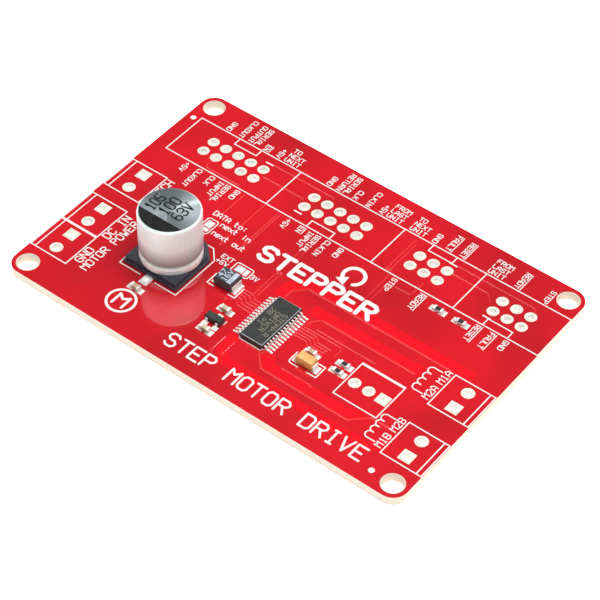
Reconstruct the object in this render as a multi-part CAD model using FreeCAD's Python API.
import FreeCAD, Part

import os
from math import atan2, cos, pi, sin, sqrt

# Stepper driver module: a bare two-layer board with its surface-mounted parts.
# Millimetres. The origin is the centre of the board's underside, X runs along the
# long edge, Y towards the edge with the headers, and Z up through the board.

V = FreeCAD.Vector
UPRIGHT = 0.99
LEVEL = 1e-6

# ---------------------------------------------------------------- board
BOARD_LENGTH = 73.66
BOARD_WIDTH = 49.53
BOARD_CORNER = 2.54
BOARD_THICKNESS = 1.6
MASK_THICKNESS = 0.06
FOIL_THICKNESS = 0.03
PAD_THICKNESS = 0.045
MASK_GAP = 0.05
FOIL_GAP = 0.35
FOIL_INSET = 0.4

SCREW_HOLE = 3.3
SCREW_MASK_HOLE = 3.7
SCREW_FOIL_HOLE = 4.8
SCREW_SPACING_X = 68.58
SCREW_SPACING_Y = 44.45

CORE_BOTTOM = MASK_THICKNESS
CORE_TOP = BOARD_THICKNESS - MASK_THICKNESS
PAD_TOP = CORE_TOP + PAD_THICKNESS
SOLDER_FILM = 0.03
SEAT = PAD_TOP + SOLDER_FILM
BARE_PAD = 0.05

# ---------------------------------------------------------------- plated holes
PLATING = 0.05
HEADER_PITCH = 2.54
HEADER_PAD = 1.88
HEADER_DRILL = 1.016
HEADER_ROWS = (13.335, 15.875)
HEADERS = {
    "control_out_holes": (-29.21, 5),
    "control_in_holes": (-8.89, 5),
    "status_out_holes": (11.43, 3),
    "status_in_holes": (26.67, 3),
}
ANALOG_START = 19.05
ANALOG_ROW = -10.795
TERMINAL_PITCH = 3.5
TERMINAL_PAD = 2.03
TERMINAL_DRILL = 1.2
TERMINALS = {
    "switch_holes": (-33.02, 1.39, 1),
    "supply_holes": (-33.02, -8.24, 1),
    "ground_holes": (-33.02, -15.47, 1),
    "motor_coil_a_holes": (33.02, -3.95, -1),
    "motor_coil_b_holes": (33.02, -15.37, -1),
}
VIA_DIAMETER = 0.35
VIA_PITCH = 1.1
VIA_COLUMNS = 2
VIA_ROWS = 4

FIDUCIAL_DIAMETER = 0.9
FIDUCIAL_SPOTS = [(-35.5, 18.36), (30.57, -22.21)]

# ---------------------------------------------------------------- part positions
BULK_SPOT = (-17.85, -8.03)
CHIP_SPOT = (2.5, -9.42)
FILTER_SPOT = (-7.75, -6.85)
RESERVOIR_SPOT = (11.42, -12.28)
DIODE_SPOT = (-4.48, -13.98)
CERAMIC_SPOTS = [(-4.5, -11.4), (-4.45, -16.3), (10.78, -10.27), (-17.9, -16.3)]
RESISTOR_SPOTS = [(20.2, 8.35), (24.3, 8.35), (15.9, -9.05), (15.9, -10.7)]
DATA_JUMPER_SPOT = (-17.9, 0.7)
POWER_JUMPER_SPOT = (-7.75, -3.45)

# ---------------------------------------------------------------- bulk capacitor
CAN_RADIUS = 4.95
CAN_WALL = 0.3
CAN_RIM = 0.45
CAN_TOTAL_HEIGHT = 10.2
CAN_SINK = 0.9
CAN_LIP_RADIUS = 3.9
GROOVE_LOW = 0.9
GROOVE_WAIST = 1.75
GROOVE_HIGH = 2.15
GROOVE_DEPTH = 0.45
GROOVE_BOW = 0.14
BASE_SIDE = 10.3
BASE_STEP = 0.25
BASE_STEP_HEIGHT = 0.6
BASE_HEIGHT = 1.3
BASE_CHAMFER = 2.2
BASE_POCKET_RADIUS = 5.06
BASE_NOTCH_WIDTH = 2.4
BASE_NOTCH_DEPTH = 1.0
BULK_LEAD_SPAN = 11.3
BULK_LEAD_WIDTH = 0.9
BULK_LEAD_THICKNESS = 0.2
BULK_STEM_RADIUS = 0.3
BULK_STEM_OFFSET = 1.5
WINDING_RADIUS = 4.3
WINDING_BORE = 0.6
BULK_PAD_REACH = (2.3, 6.9)
BULK_PAD_WIDTH = 1.5

# ---------------------------------------------------------------- driver chip
CHIP_LENGTH = 9.7
CHIP_WIDTH = 4.4
CHIP_HEIGHT = 0.85
CHIP_STANDOFF = 0.08
CHIP_DRAFT = 0.16
CHIP_LEADS = 14
CHIP_PITCH = 0.65
CHIP_SPAN = 6.4
CHIP_LEAD_WIDTH = 0.24
CHIP_LEAD_THICKNESS = 0.13
CHIP_LEAD_INNER = 1.55
CHIP_LEAD_SHOULDER = 0.3
CHIP_LEAD_SLOPE = 0.2
CHIP_PAD_REACH = (2.3, 3.65)
CHIP_PAD_WIDTH = 0.3
HEAT_PAD_SIZE = (2.6, 5.5)
HEAT_PAD_THICKNESS = 0.2
CHIP_DIE_SIZE = (2.0, 4.4, 0.28)
BOND_WIRE_RADIUS = 0.02
BOND_PAD_INSET = 0.1
BOND_PAD_SPREAD = 0.6
BOND_LEAD_OVERLAP = 0.15
DIMPLE_RADIUS = 0.4
DIMPLE_DEPTH = 0.06
DIMPLE_INSET = 0.9

# ---------------------------------------------------------------- moulded cases
CASE_CHAMFER = 0.08

# ---------------------------------------------------------------- tantalum capacitors
TANTALUM_TERMINAL = 0.12
TANTALUM_FOOT = 0.8
TANTALUM_DRAFT = 0.12
TANTALUM_WET_SHARE = 0.25
SLUG_END_GAP = 0.75
SLUG_SIDE_GAP = 0.35
ANODE_WIRE_RADIUS = 0.1
ANODE_WIRE_LENGTH = 0.35
FILTER_SIZE = (3.3, 2.9, 1.6)
FILTER_LEAD_WIDTH = 2.2
FILTER_PAD_REACH = (0.9, 2.3)
FILTER_PAD_WIDTH = 2.3
RESERVOIR_SIZE = (3.0, 1.75, 1.4)
RESERVOIR_LEAD_WIDTH = 1.25
RESERVOIR_PAD_REACH = (0.8, 2.25)
RESERVOIR_PAD_WIDTH = 1.4

# ---------------------------------------------------------------- diode pair
DIODE_SIZE = (2.9, 1.3, 0.95)
DIODE_STANDOFF = 0.05
DIODE_DRAFT = 0.06
DIODE_SPAN = 2.4
DIODE_LEAD_WIDTH = 0.42
DIODE_LEAD_THICKNESS = 0.12
DIODE_LEAD_OFFSET = 0.95
DIODE_LEAD_INNER = 0.15
DIODE_LEAD_SHOULDER = 0.12
DIODE_LEAD_SLOPE = 0.1
DIODE_PAD_REACH = (0.75, 1.55)
DIODE_PAD_WIDTH = 0.9
DIODE_DIE_SIDE = 0.36
DIODE_DIE_HEIGHT = 0.15
DIODE_DIE_ROW = -0.35

# ---------------------------------------------------------------- chip components
CHIP_PART_LENGTH = 1.6
CHIP_PART_WIDTH = 0.8
CERAMIC_HEIGHT = 0.8
RESISTOR_HEIGHT = 0.45
END_CAP_LENGTH = 0.34
END_CAP_WALL = 0.025
PLATE_COUNT = 5
PLATE_THICKNESS = 0.02
PLATE_END_GAP = 0.2
PLATE_SIDE_GAP = 0.15
PLATE_SHIFT = 0.1
FILM_SIZE = (0.86, 0.7, 0.02)
SMALL_PAD_REACH = (0.32, 1.42)
SMALL_PAD_WIDTH = 1.05
SMALL_WET_SHARE = 0.55

# ---------------------------------------------------------------- solder jumpers
JUMPER_PITCH = 0.8128
JUMPER_PAD_SHORT = 0.635
JUMPER_PAD_LONG = 1.27
BRIDGE_HEIGHT = 0.3
BRIDGE_ROUND = 0.3
BRIDGE_EDGE = 0.1


# ================================================================ basic shapes
def block(size, centre, bottom):
    """Box of the given length, width and height, centred on (x, y)."""
    length, width, height = size
    corner = V(centre[0] - length / 2, centre[1] - width / 2, bottom)
    return Part.makeBox(length, width, height, corner)


def disc(radius, centre, bottom, top):
    """Upright cylinder between two heights."""
    return Part.makeCylinder(radius, top - bottom, V(centre[0], centre[1], bottom))


def frustum_stack(sections, centre):
    """Straight-sided solid through rectangles given as (length, width, height)."""
    wires = []
    for length, width, height in sections:
        x = length / 2
        y = width / 2
        corners = [V(-x, -y, height), V(x, -y, height), V(x, y, height), V(-x, y, height)]
        wires.append(Part.makePolygon(corners + corners[:1]))
    solid = Part.makeLoft(wires, True, True)
    solid.translate(V(centre[0], centre[1], 0))
    return solid


def upright_edges(solid):
    """Edges of a solid that run straight up."""
    return [edge for edge in solid.Edges if abs(edge.tangentAt(edge.FirstParameter).z) > UPRIGHT]


def edges_at(solid, height):
    """Edges of a solid that lie flat at one height."""
    return [edge for edge in solid.Edges
            if all(abs(vertex.Z - height) < LEVEL for vertex in edge.Vertexes)]


def extruded(outline, width):
    """Closed XZ outline, pulled to both sides of Y = 0."""
    face = Part.Face(outline)
    face.translate(V(0, -width / 2, 0))
    return face.extrude(V(0, width, 0))


def bent_strip(path, thickness, width):
    """Metal strip of even thickness whose middle follows a bent path in the XZ plane."""
    above = []
    below = []
    for index, (x, z) in enumerate(path):
        x0, z0 = path[max(index - 1, 0)]
        x1, z1 = path[min(index + 1, len(path) - 1)]
        into = atan2(z - z0, x - x0) if index > 0 else atan2(z1 - z, x1 - x)
        out = atan2(z1 - z, x1 - x) if index < len(path) - 1 else into
        mitre = thickness / 2 / cos((out - into) / 2)
        across = (into + out) / 2
        shift = V(-mitre * sin(across), 0, mitre * cos(across))
        above.append(V(x, 0, z) + shift)
        below.append(V(x, 0, z) - shift)
    outline = above + below[::-1]
    return extruded(Part.makePolygon(outline + outline[:1]), width)


def placed(solid, centre, turn=0):
    """Copy of a solid made at the origin, turned about Z and moved to (x, y)."""
    copy = solid.copy()
    copy.rotate(V(0, 0, 0), V(0, 0, 1), turn)
    copy.translate(V(centre[0], centre[1], 0))
    return copy


def without(solid, others):
    """Solid with the room that other solids take cut out of it."""
    return solid.cut(Part.makeCompound(others)) if others else solid


def save(name, solids):
    """Write one node, as a single solid or a group of separate solids."""
    shape = solids[0] if len(solids) == 1 else Part.makeCompound(solids)
    shape.exportStep(os.path.join("parts", name + ".step"))


# ================================================================ layout
def pad_pair(spot, reach, width, along_y=False):
    """Two pads on either side of a part's centre, as (centre, length, width)."""
    near, far = reach
    middle = (near + far) / 2
    pads = []
    for side in (-1, 1):
        if along_y:
            pads.append(((spot[0], spot[1] + side * middle), width, far - near))
        else:
            pads.append(((spot[0] + side * middle, spot[1]), far - near, width))
    return pads


def chip_lead_rows():
    """Y of each lead along one side of the driver chip, from its centre."""
    return [(index - (CHIP_LEADS - 1) / 2) * CHIP_PITCH for index in range(CHIP_LEADS)]


def jumper_pads(spot, along_y):
    """Three pads of a solder jumper, first to last along X or Y."""
    pads = []
    for step in (-1, 0, 1):
        if along_y:
            centre = (spot[0], spot[1] + step * JUMPER_PITCH)
            pads.append((centre, JUMPER_PAD_LONG, JUMPER_PAD_SHORT))
        else:
            centre = (spot[0] + step * JUMPER_PITCH, spot[1])
            pads.append((centre, JUMPER_PAD_SHORT, JUMPER_PAD_LONG))
    return pads


def surface_pads():
    """Every surface pad on the top side, as (centre, length, width)."""
    pads = pad_pair(BULK_SPOT, BULK_PAD_REACH, BULK_PAD_WIDTH, along_y=True)
    for row in chip_lead_rows():
        pads += pad_pair((CHIP_SPOT[0], CHIP_SPOT[1] + row), CHIP_PAD_REACH, CHIP_PAD_WIDTH)
    pads.append((CHIP_SPOT, HEAT_PAD_SIZE[0], HEAT_PAD_SIZE[1]))
    pads += pad_pair(FILTER_SPOT, FILTER_PAD_REACH, FILTER_PAD_WIDTH)
    pads += pad_pair(RESERVOIR_SPOT, RESERVOIR_PAD_REACH, RESERVOIR_PAD_WIDTH)
    for offset, side in diode_lead_places():
        middle = sum(DIODE_PAD_REACH) / 2
        centre = (DIODE_SPOT[0] + offset, DIODE_SPOT[1] + side * middle)
        pads.append((centre, DIODE_PAD_WIDTH, DIODE_PAD_REACH[1] - DIODE_PAD_REACH[0]))
    for spot in CERAMIC_SPOTS + RESISTOR_SPOTS:
        pads += pad_pair(spot, SMALL_PAD_REACH, SMALL_PAD_WIDTH)
    pads += jumper_pads(DATA_JUMPER_SPOT, along_y=True)
    pads += jumper_pads(POWER_JUMPER_SPOT, along_y=False)
    return pads


def screw_spots():
    """Centres of the four mounting holes."""
    return [(x * SCREW_SPACING_X / 2, y * SCREW_SPACING_Y / 2) for x in (-1, 1) for y in (-1, 1)]


def header_holes(start, columns):
    """Plated holes of a two-row header, as (centre, drill, pad, square)."""
    return [((start + column * HEADER_PITCH, row), HEADER_DRILL, HEADER_PAD, False)
            for row in HEADER_ROWS for column in range(columns)]


def analog_holes():
    """Three holes in a row, the last with a square pad."""
    return [((ANALOG_START + column * HEADER_PITCH, ANALOG_ROW), HEADER_DRILL, HEADER_PAD, column == 2)
            for column in range(3)]


def terminal_holes(x, middle, square_side):
    """Two holes of a terminal block, one of them with a square pad."""
    return [((x, middle + side * TERMINAL_PITCH / 2), TERMINAL_DRILL, TERMINAL_PAD, side == square_side)
            for side in (-1, 1)]


def plated_hole_groups():
    """Holes of every connector position, by node name."""
    groups = {}
    for name, (start, columns) in HEADERS.items():
        groups[name] = header_holes(start, columns)
    groups["analog_input_holes"] = analog_holes()
    for name, (x, middle, square_side) in TERMINALS.items():
        groups[name] = terminal_holes(x, middle, square_side)
    return groups


def via_spots():
    """Centres of the heat vias under the driver chip."""
    return [(CHIP_SPOT[0] + (column - (VIA_COLUMNS - 1) / 2) * VIA_PITCH,
             CHIP_SPOT[1] + (row - (VIA_ROWS - 1) / 2) * VIA_PITCH)
            for column in range(VIA_COLUMNS) for row in range(VIA_ROWS)]


# ================================================================ board layers
def board_plate(bottom, top, inset=0.0):
    """Plate with the board's round-cornered outline."""
    size = (BOARD_LENGTH - 2 * inset, BOARD_WIDTH - 2 * inset, top - bottom)
    plate = block(size, (0, 0), bottom)
    return plate.makeFillet(BOARD_CORNER - inset, upright_edges(plate))


def hole_pad(hole, grow, bottom, top):
    """Round or square pad shape of one plated hole, grown by a margin."""
    centre, _, pad, square = hole
    side = pad + 2 * grow
    if square:
        return block((side, side, top - bottom), centre, bottom)
    return disc(side / 2, centre, bottom, top)


def screw_holes(diameter, bottom, top):
    """Round cutters at the four mounting holes."""
    return [disc(diameter / 2, spot, bottom, top) for spot in screw_spots()]


def connector_windows(groups, bottom, top):
    """One clear rectangle in the foil around each connector's pads."""
    windows = []
    for holes in groups.values():
        margin = holes[0][2] / 2 + FOIL_GAP
        xs = [hole[0][0] for hole in holes]
        ys = [hole[0][1] for hole in holes]
        size = (max(xs) - min(xs) + 2 * margin, max(ys) - min(ys) + 2 * margin, top - bottom)
        windows.append(block(size, ((max(xs) + min(xs)) / 2, (max(ys) + min(ys)) / 2), bottom))
    return windows


def copper_pour(groups, bottom, top, side_windows):
    """Foil sheet under the mask, clear of the pads, holes and board edge."""
    cutters = screw_holes(SCREW_FOIL_HOLE, bottom, top)
    cutters += connector_windows(groups, bottom, top)
    cutters += side_windows
    return without(board_plate(bottom, top, FOIL_INSET), cutters)


def top_foil_windows(bottom, top):
    """Clear rectangles in the top foil around the surface pads and fiducials."""
    height = top - bottom
    windows = []
    for centre, length, width in surface_pads():
        windows.append(block((length + 2 * FOIL_GAP, width + 2 * FOIL_GAP, height), centre, bottom))
    for spot in FIDUCIAL_SPOTS:
        windows.append(disc(FIDUCIAL_DIAMETER / 2 + FOIL_GAP, spot, bottom, top))
    return windows


def laminate(groups):
    """Glass-epoxy core with every hole drilled."""
    cutters = screw_holes(SCREW_HOLE, CORE_BOTTOM, CORE_TOP)
    for holes in groups.values():
        for centre, drill, _, _ in holes:
            cutters.append(disc(drill / 2 + PLATING, centre, CORE_BOTTOM, CORE_TOP))
    cutters += [disc(VIA_DIAMETER / 2, spot, CORE_BOTTOM, CORE_TOP) for spot in via_spots()]
    return without(board_plate(CORE_BOTTOM, CORE_TOP), cutters)


def mask_sheet(groups, foil, bottom, top, openings):
    """Solder mask: a lacquer sheet over the foil, open at the pads and holes."""
    cutters = screw_holes(SCREW_MASK_HOLE, bottom, top)
    for holes in groups.values():
        cutters += [hole_pad(hole, MASK_GAP, bottom, top) for hole in holes]
    return without(without(board_plate(bottom, top), cutters + openings), [foil])


def top_mask_openings():
    """Windows in the top mask over the surface pads and fiducials."""
    openings = []
    for centre, length, width in surface_pads():
        size = (length + 2 * MASK_GAP, width + 2 * MASK_GAP, MASK_THICKNESS)
        openings.append(block(size, centre, CORE_TOP))
    for spot in FIDUCIAL_SPOTS:
        openings.append(disc(FIDUCIAL_DIAMETER / 2 + MASK_GAP, spot, CORE_TOP, BOARD_THICKNESS))
    return openings


def plated_hole(hole):
    """Tinned copper barrel with a ring on each face."""
    centre, drill, _, _ = hole
    low = CORE_BOTTOM - PAD_THICKNESS
    sleeve = disc(drill / 2 + PLATING, centre, low, PAD_TOP)
    rings = [hole_pad(hole, 0, low, CORE_BOTTOM), hole_pad(hole, 0, CORE_TOP, PAD_TOP)]
    eyelet = sleeve.multiFuse(rings).cut(disc(drill / 2, centre, low, PAD_TOP))
    return eyelet.removeSplitter().Solids[0]


def save_board():
    """Core, foil, mask, pads and plated holes."""
    groups = plated_hole_groups()
    foil_low = CORE_BOTTOM - FOIL_THICKNESS
    foil_high = CORE_TOP + FOIL_THICKNESS
    via_windows = [disc(VIA_DIAMETER / 2, spot, foil_low, CORE_BOTTOM) for spot in via_spots()]
    foil_top = copper_pour(groups, CORE_TOP, foil_high, top_foil_windows(CORE_TOP, foil_high))
    foil_bottom = copper_pour(groups, foil_low, CORE_BOTTOM, via_windows)
    mask_top = mask_sheet(groups, foil_top, CORE_TOP, BOARD_THICKNESS, top_mask_openings())
    vias = [disc(VIA_DIAMETER / 2, spot, foil_low, CORE_TOP) for spot in via_spots()]
    mask_bottom = mask_sheet(groups, Part.makeCompound([foil_bottom] + vias), 0, CORE_BOTTOM, [])
    pads = [block((length, width, PAD_THICKNESS), centre, CORE_TOP)
            for centre, length, width in surface_pads()]
    marks = [disc(FIDUCIAL_DIAMETER / 2, spot, CORE_TOP, PAD_TOP) for spot in FIDUCIAL_SPOTS]
    save("laminate_core", [laminate(groups)])
    save("copper_foil_top", foil_top.Solids)
    save("copper_foil_bottom", foil_bottom.Solids)
    save("solder_mask_top", mask_top.Solids)
    save("solder_mask_bottom", mask_bottom.Solids)
    save("surface_pads", pads)
    save("fiducial_marks", marks)
    save("heat_vias", vias)
    for name, holes in groups.items():
        save(name, [plated_hole(hole) for hole in holes])


# ================================================================ solder
def solder_joint(inner, tip, pad_reach, wet_height, width):
    """Joint below one lead along +X: a film under it and a hollow fillet past its tip."""
    pad_end = pad_reach[1] - BARE_PAD
    run = pad_end - tip
    rise = min(SEAT + wet_height - PAD_TOP, run)
    radius = (run * run + rise * rise) / (2 * rise)
    start = V(tip, 0, PAD_TOP + rise)
    middle = V(tip + run / 2, 0, PAD_TOP + radius - sqrt(radius * radius - run * run / 4))
    end = V(pad_end, 0, PAD_TOP)
    corners = [end, V(inner, 0, PAD_TOP), V(inner, 0, SEAT), V(tip, 0, SEAT), start]
    edges = [Part.LineSegment(a, b).toShape() for a, b in zip(corners, corners[1:])]
    edges.append(Part.Arc(start, middle, end).toShape())
    return extruded(Part.Wire(edges), width)


def both_ends(solid, spot, turn=0):
    """The same solid at both ends of a part."""
    return [placed(solid, spot, turn), placed(solid, spot, turn + 180)]


# ================================================================ bulk capacitor
def bowed(start, end, bow):
    """Arc between two points of a half section, bowed to its right by a share of its length."""
    run = end - start
    middle = (start + end) / 2 + V(run.z, 0, -run.x) * bow
    return start, middle, end


def can_outline(shrink):
    """Half section of the can, or of its hollow when shrunk by the wall."""
    low = SEAT + CAN_SINK + shrink
    high = SEAT + CAN_TOTAL_HEIGHT - shrink
    radius = CAN_RADIUS - shrink
    rim = CAN_RIM - shrink / 2
    groove_low = SEAT + CAN_SINK + GROOVE_LOW
    groove_high = SEAT + CAN_SINK + GROOVE_HIGH
    waist = V(radius - GROOVE_DEPTH, 0, SEAT + CAN_SINK + GROOVE_WAIST)
    bevel = rim * (1 - cos(pi / 4))
    lines = [
        (V(0, 0, low), V(radius - rim, 0, low)),
        (V(radius, 0, low + rim), V(radius, 0, groove_low)),
        (V(radius, 0, groove_high), V(radius, 0, high - rim)),
        (V(radius - rim, 0, high), V(0, 0, high)),
        (V(0, 0, high), V(0, 0, low)),
    ]
    arcs = [
        (lines[0][1], V(radius - bevel, 0, low + bevel), lines[1][0]),
        bowed(lines[1][1], waist, GROOVE_BOW),
        bowed(waist, lines[2][0], -GROOVE_BOW),
        (lines[2][1], V(radius - bevel, 0, high - bevel), lines[3][0]),
    ]
    edges = [
        Part.LineSegment(*lines[0]), Part.Arc(*arcs[0]), Part.LineSegment(*lines[1]),
        Part.Arc(*arcs[1]), Part.Arc(*arcs[2]), Part.LineSegment(*lines[2]), Part.Arc(*arcs[3]),
        Part.LineSegment(*lines[3]), Part.LineSegment(*lines[4]),
    ]
    return Part.Wire([edge.toShape() for edge in edges])


def turned(outline):
    """Solid of revolution of a half section about the Z axis."""
    return Part.Face(outline).revolve(V(0, 0, 0), V(0, 0, 1), 360)


def base_tier(side, bottom, height):
    """One tier of the base, with its two plus-side corners cut off."""
    tier = block((side, side, height), (0, 0), bottom)
    plus_corners = [edge for edge in upright_edges(tier) if edge.Vertexes[0].Y > 0]
    return tier.makeChamfer(BASE_CHAMFER, plus_corners)


def bulk_base():
    """Square plastic foot with a step, a pocket for the can and a notch over each lead."""
    upper_height = BASE_HEIGHT - BASE_STEP_HEIGHT
    lower = base_tier(BASE_SIDE, SEAT, BASE_STEP_HEIGHT)
    upper = base_tier(BASE_SIDE - 2 * BASE_STEP, SEAT + BASE_STEP_HEIGHT, upper_height)
    pocket = disc(BASE_POCKET_RADIUS, (0, 0), SEAT + CAN_SINK, SEAT + BASE_HEIGHT)
    cutters = [pocket]
    for side in (-1, 1):
        centre = (0, side * (BASE_SIDE / 2 - BASE_NOTCH_DEPTH / 2))
        size = (BASE_NOTCH_WIDTH, BASE_NOTCH_DEPTH, upper_height)
        cutters.append(block(size, centre, SEAT + BASE_STEP_HEIGHT))
    return lower.fuse(upper).cut(Part.makeCompound(cutters)).removeSplitter()


def bulk_lead(winding_bottom):
    """Round stem through the seal and base, with a flat foot turned outwards along +X."""
    stem = disc(BULK_STEM_RADIUS, (BULK_STEM_OFFSET, 0), SEAT, winding_bottom)
    inner = BULK_STEM_OFFSET - BULK_LEAD_WIDTH / 2
    length = BULK_LEAD_SPAN / 2 - inner
    foot = block((length, BULK_LEAD_WIDTH, BULK_LEAD_THICKNESS), (inner + length / 2, 0), SEAT)
    return stem.fuse(foot).removeSplitter()


def save_bulk_capacitor():
    """Can, base, seal, wound foil element, leads and solder."""
    can_low = SEAT + CAN_SINK
    seal_top = can_low + GROOVE_HIGH + CAN_WALL
    winding_top = SEAT + CAN_TOTAL_HEIGHT - 2 * CAN_WALL
    outer = turned(can_outline(0))
    hollow = turned(can_outline(CAN_WALL))
    mouth = disc(CAN_LIP_RADIUS, (0, 0), can_low, can_low + CAN_WALL)
    can = outer.cut(hollow).cut(mouth)
    lead = bulk_lead(seal_top)
    leads = [placed(lead, (0, 0), turn) for turn in (90, -90)]
    seal = hollow.common(disc(CAN_RADIUS, (0, 0), can_low, seal_top)).fuse(mouth)
    seal = without(seal.removeSplitter(), leads)
    winding = disc(WINDING_RADIUS, (0, 0), seal_top, winding_top)
    winding = winding.cut(disc(WINDING_BORE, (0, 0), seal_top, winding_top))
    base = without(bulk_base(), leads)
    joint = solder_joint(BULK_PAD_REACH[0], BULK_LEAD_SPAN / 2, BULK_PAD_REACH,
                         BULK_LEAD_THICKNESS, BULK_LEAD_WIDTH)
    save("bulk_capacitor_can", [placed(can, BULK_SPOT)])
    save("bulk_capacitor_base", [placed(base, BULK_SPOT)])
    save("bulk_capacitor_seal", [placed(seal, BULK_SPOT)])
    save("bulk_capacitor_winding", [placed(winding, BULK_SPOT)])
    save("bulk_capacitor_plus_lead", [placed(leads[0], BULK_SPOT)])
    save("bulk_capacitor_minus_lead", [placed(leads[1], BULK_SPOT)])
    save("bulk_capacitor_solder", both_ends(joint, BULK_SPOT, 90))


# ================================================================ moulded parts
def moulded_case(length, width, bottom, height, draft):
    """Epoxy case with drafted sides that meet at a parting line half-way up."""
    top = bottom + height
    case = frustum_stack([(length - 2 * draft, width - 2 * draft, bottom),
                          (length, width, bottom + height / 2),
                          (length - 2 * draft, width - 2 * draft, top)], (0, 0))
    return case.makeChamfer(CASE_CHAMFER, edges_at(case, top))


def save_driver_chip():
    """Moulded case, two rows of leads, heat pad, die, bond wires and solder."""
    bottom = SEAT + CHIP_STANDOFF
    middle = bottom + CHIP_HEIGHT / 2
    half_lead = CHIP_LEAD_THICKNESS / 2
    knee = CHIP_WIDTH / 2 + CHIP_LEAD_SHOULDER
    path = [(CHIP_LEAD_INNER, middle), (knee, middle), (knee + CHIP_LEAD_SLOPE, SEAT + half_lead),
            (CHIP_SPAN / 2, SEAT + half_lead)]
    lead = bent_strip(path, CHIP_LEAD_THICKNESS, CHIP_LEAD_WIDTH)
    rows = chip_lead_rows()
    right = [placed(lead, (0, row)) for row in rows]
    left = [placed(lead, (0, row), 180) for row in rows]
    heat_pad = block((HEAT_PAD_SIZE[0], HEAT_PAD_SIZE[1], HEAT_PAD_THICKNESS), (0, 0), bottom)
    die = block(CHIP_DIE_SIZE, (0, 0), bottom + HEAT_PAD_THICKNESS)
    die_top = bottom + HEAT_PAD_THICKNESS + CHIP_DIE_SIZE[2]
    wires = chip_bond_wires(rows, die_top, middle + half_lead, right + left + [die])
    case = moulded_case(CHIP_WIDTH, CHIP_LENGTH, bottom, CHIP_HEIGHT, CHIP_DRAFT)
    dimple_spot = (DIMPLE_INSET - CHIP_WIDTH / 2, CHIP_LENGTH / 2 - DIMPLE_INSET)
    top = bottom + CHIP_HEIGHT
    case = case.cut(disc(DIMPLE_RADIUS, dimple_spot, top - DIMPLE_DEPTH, top))
    case = without(case, right + left + [heat_pad, die] + wires)
    joint = solder_joint(knee + CHIP_LEAD_SLOPE, CHIP_SPAN / 2, CHIP_PAD_REACH,
                         CHIP_LEAD_THICKNESS, CHIP_LEAD_WIDTH)
    solder = [placed(joint, (0, row), turn) for row in rows for turn in (0, 180)]
    size = (HEAT_PAD_SIZE[0], HEAT_PAD_SIZE[1], bottom - PAD_TOP)
    solder.append(block(size, (0, 0), PAD_TOP))
    save("driver_chip_case", [placed(case, CHIP_SPOT)])
    save("driver_chip_leads_right", [placed(solid, CHIP_SPOT) for solid in right])
    save("driver_chip_leads_left", [placed(solid, CHIP_SPOT) for solid in left])
    save("driver_chip_heat_pad", [placed(heat_pad, CHIP_SPOT)])
    save("driver_chip_die", [placed(die, CHIP_SPOT)])
    save("driver_chip_bond_wires", [placed(solid, CHIP_SPOT) for solid in wires])
    save("driver_chip_solder", [placed(solid, CHIP_SPOT) for solid in solder])


def chip_bond_wires(rows, die_top, lead_top, neighbours):
    """One straight gold wire from the die's edge to each lead."""
    wires = []
    for row in rows:
        for side in (-1, 1):
            start = V(side * (CHIP_DIE_SIZE[0] / 2 - BOND_PAD_INSET), row * BOND_PAD_SPREAD, die_top)
            end = V(side * (CHIP_LEAD_INNER + BOND_LEAD_OVERLAP), row, lead_top)
            run = end - start
            wire = Part.makeCylinder(BOND_WIRE_RADIUS, run.Length, start, run)
            wires.append(without(wire, neighbours).Solids[0])
    return wires


def save_tantalum(name, spot, size, lead_width, pad_reach):
    """Moulded capacitor with folded terminals, a sintered slug and its wire."""
    length, width, height = size
    bottom = SEAT + TANTALUM_TERMINAL
    half_strip = TANTALUM_TERMINAL / 2
    middle = bottom + height / 2
    outside = length / 2 + half_strip
    slug_half = length / 2 - SLUG_END_GAP
    slug_height = height - 2 * SLUG_SIDE_GAP
    path = [(slug_half, middle), (outside, middle), (outside, SEAT + half_strip),
            (length / 2 - TANTALUM_FOOT, SEAT + half_strip)]
    minus = bent_strip(path, TANTALUM_TERMINAL, lead_width)
    anode_path = [(slug_half + ANODE_WIRE_LENGTH, middle)] + path[1:]
    plus = placed(bent_strip(anode_path, TANTALUM_TERMINAL, lead_width), (0, 0), 180)
    slug_size = (2 * slug_half, width - 2 * SLUG_SIDE_GAP, slug_height)
    slug = block(slug_size, (0, 0), middle - slug_height / 2)
    wire_start = V(-slug_half - ANODE_WIRE_LENGTH, 0, middle)
    wire = Part.makeCylinder(ANODE_WIRE_RADIUS, ANODE_WIRE_LENGTH, wire_start, V(1, 0, 0))
    case = moulded_case(length, width, bottom, height, TANTALUM_DRAFT)
    case = without(case, [minus, plus, slug, wire])
    film_start = max(length / 2 - TANTALUM_FOOT, pad_reach[0])
    joint = solder_joint(film_start, length / 2 + TANTALUM_TERMINAL, pad_reach,
                         height * TANTALUM_WET_SHARE, lead_width)
    save(name + "_case", [placed(case.Solids[0], spot)])
    save(name + "_minus_terminal", [placed(minus, spot)])
    save(name + "_plus_terminal", [placed(plus, spot)])
    save(name + "_slug", [placed(slug, spot)])
    save(name + "_anode_wire", [placed(wire, spot)])
    save(name + "_solder", both_ends(joint, spot))


def diode_lead_places():
    """Leads of the diode pair, as (offset along X, side of Y)."""
    return [(0, 1), (-DIODE_LEAD_OFFSET, -1), (DIODE_LEAD_OFFSET, -1)]


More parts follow.
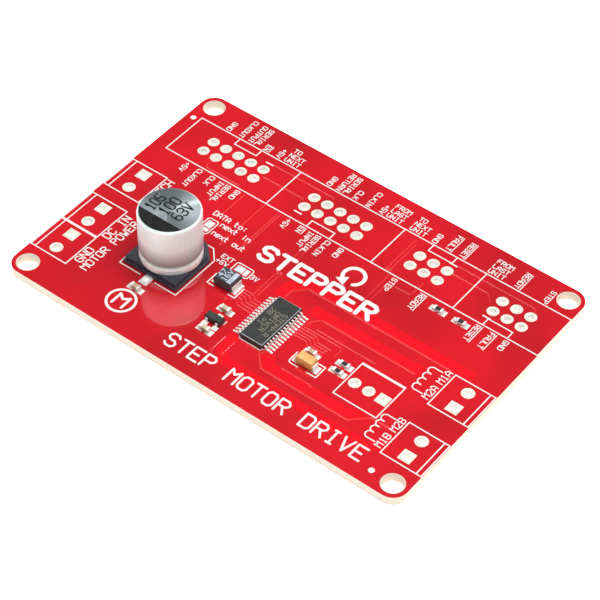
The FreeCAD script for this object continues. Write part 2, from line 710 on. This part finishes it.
def save_diode_pair():
    """Small three-lead moulded case with two dies."""
    length, width, height = DIODE_SIZE
    bottom = SEAT + DIODE_STANDOFF
    middle = bottom + height / 2
    half_lead = DIODE_LEAD_THICKNESS / 2
    knee = width / 2 + DIODE_LEAD_SHOULDER
    path = [(DIODE_LEAD_INNER, middle), (knee, middle), (knee + DIODE_LEAD_SLOPE, SEAT + half_lead),
            (DIODE_SPAN / 2, SEAT + half_lead)]
    lead = bent_strip(path, DIODE_LEAD_THICKNESS, DIODE_LEAD_WIDTH)
    joint = solder_joint(knee + DIODE_LEAD_SLOPE, DIODE_SPAN / 2, DIODE_PAD_REACH,
                         DIODE_LEAD_THICKNESS, DIODE_LEAD_WIDTH)
    leads = [placed(lead, (offset, 0), 90 * side) for offset, side in diode_lead_places()]
    solder = [placed(joint, (offset, 0), 90 * side) for offset, side in diode_lead_places()]
    die_size = (DIODE_DIE_SIDE, DIODE_DIE_SIDE, DIODE_DIE_HEIGHT)
    dies = [block(die_size, (side * DIODE_LEAD_OFFSET, DIODE_DIE_ROW), middle + half_lead)
            for side in (-1, 1)]
    case = moulded_case(length, width, bottom, height, DIODE_DRAFT)
    case = without(case, leads + dies)
    save("diode_pair_case", [placed(case, DIODE_SPOT)])
    save("diode_pair_leads", [placed(solid, DIODE_SPOT) for solid in leads])
    save("diode_pair_dies", [placed(solid, DIODE_SPOT) for solid in dies])
    save("diode_pair_solder", [placed(solid, DIODE_SPOT) for solid in solder])


# ================================================================ chip components
def end_cap(height):
    """Metal cup over the +X end of a chip component."""
    outer = block((END_CAP_LENGTH, CHIP_PART_WIDTH, height),
                  (CHIP_PART_LENGTH / 2 - END_CAP_LENGTH / 2, 0), SEAT)
    return outer.cut(chip_core(height))


def chip_core(height):
    """Ceramic block that the end caps grip."""
    size = (CHIP_PART_LENGTH - 2 * END_CAP_WALL, CHIP_PART_WIDTH - 2 * END_CAP_WALL,
            height - 2 * END_CAP_WALL)
    return block(size, (0, 0), SEAT + END_CAP_WALL)


def small_joint(height):
    """Solder joint of one end of a chip component."""
    inner = CHIP_PART_LENGTH / 2 - END_CAP_LENGTH
    return solder_joint(inner, CHIP_PART_LENGTH / 2, SMALL_PAD_REACH,
                        height * SMALL_WET_SHARE, CHIP_PART_WIDTH)


def save_ceramic_capacitors():
    """Ceramic bodies, their inner plates, end caps and solder."""
    core = chip_core(CERAMIC_HEIGHT)
    gap = (CERAMIC_HEIGHT - 2 * END_CAP_WALL) / (PLATE_COUNT + 1)
    size = (CHIP_PART_LENGTH - 2 * PLATE_END_GAP, CHIP_PART_WIDTH - 2 * PLATE_SIDE_GAP, PLATE_THICKNESS)
    plates = []
    for index in range(PLATE_COUNT):
        shift = PLATE_SHIFT if index % 2 else -PLATE_SHIFT
        plates.append(block(size, (shift, 0), SEAT + END_CAP_WALL + (index + 1) * gap))
    body = without(core, plates)
    save("ceramic_capacitor_bodies", [placed(body, spot) for spot in CERAMIC_SPOTS])
    save("ceramic_capacitor_plates", [placed(plate, spot) for spot in CERAMIC_SPOTS for plate in plates])
    save_both_ends("ceramic_capacitor_end_caps", end_cap(CERAMIC_HEIGHT), CERAMIC_SPOTS)
    save_both_ends("ceramic_capacitor_solder", small_joint(CERAMIC_HEIGHT), CERAMIC_SPOTS)


def save_resistors():
    """Ceramic substrates with a film on top, end caps and solder."""
    core = chip_core(RESISTOR_HEIGHT)
    film_bottom = SEAT + RESISTOR_HEIGHT - END_CAP_WALL
    film = block(FILM_SIZE, (0, 0), film_bottom)
    save("resistor_substrates", [placed(core, spot) for spot in RESISTOR_SPOTS])
    save("resistor_films", [placed(film, spot) for spot in RESISTOR_SPOTS])
    save_both_ends("resistor_end_caps", end_cap(RESISTOR_HEIGHT), RESISTOR_SPOTS)
    save_both_ends("resistor_solder", small_joint(RESISTOR_HEIGHT), RESISTOR_SPOTS)


def save_both_ends(name, solid, spots):
    """One node with the same solid at both ends of every part in a list."""
    solids = []
    for spot in spots:
        solids += both_ends(solid, spot)
    save(name, solids)


# ================================================================ solder jumpers
def arch(span, length):
    """Low arch over X, flat below and crowned above, pulled along Y."""
    left = V(-span / 2, 0, PAD_TOP)
    right = V(span / 2, 0, PAD_TOP)
    left_edge = left + V(0, 0, BRIDGE_EDGE)
    right_edge = right + V(0, 0, BRIDGE_EDGE)
    crown = V(0, 0, PAD_TOP + BRIDGE_HEIGHT)
    edges = [Part.LineSegment(left_edge, left), Part.LineSegment(left, right),
             Part.LineSegment(right, right_edge), Part.Arc(right_edge, crown, left_edge)]
    return extruded(Part.Wire([edge.toShape() for edge in edges]), length)


def bridge(pads):
    """Bead of solder, crowned both ways, across neighbouring jumper pads."""
    xs = [centre[0] + side * length / 2 for centre, length, _ in pads for side in (-1, 1)]
    ys = [centre[1] + side * width / 2 for centre, _, width in pads for side in (-1, 1)]
    length = max(xs) - min(xs)
    width = max(ys) - min(ys)
    bead = block((length, width, BRIDGE_HEIGHT), (0, 0), PAD_TOP)
    bead = bead.makeFillet(BRIDGE_ROUND, upright_edges(bead))
    bead = bead.common(arch(length, width)).common(placed(arch(width, length), (0, 0), 90))
    return placed(bead.Solids[0], ((min(xs) + max(xs)) / 2, (min(ys) + max(ys)) / 2))


def save_jumper_bridges():
    """Solder that closes two of the three pads of each jumper."""
    data = jumper_pads(DATA_JUMPER_SPOT, along_y=True)[1:]
    power = jumper_pads(POWER_JUMPER_SPOT, along_y=False)[:2]
    save("jumper_solder_bridges", [bridge(data), bridge(power)])


os.makedirs("parts", exist_ok=True)
save_board()
save_bulk_capacitor()
save_driver_chip()
save_tantalum("filter_capacitor", FILTER_SPOT, FILTER_SIZE, FILTER_LEAD_WIDTH, FILTER_PAD_REACH)
save_tantalum("reservoir_capacitor", RESERVOIR_SPOT, RESERVOIR_SIZE, RESERVOIR_LEAD_WIDTH,
              RESERVOIR_PAD_REACH)
save_diode_pair()
save_ceramic_capacitors()
save_resistors()
save_jumper_bridges()
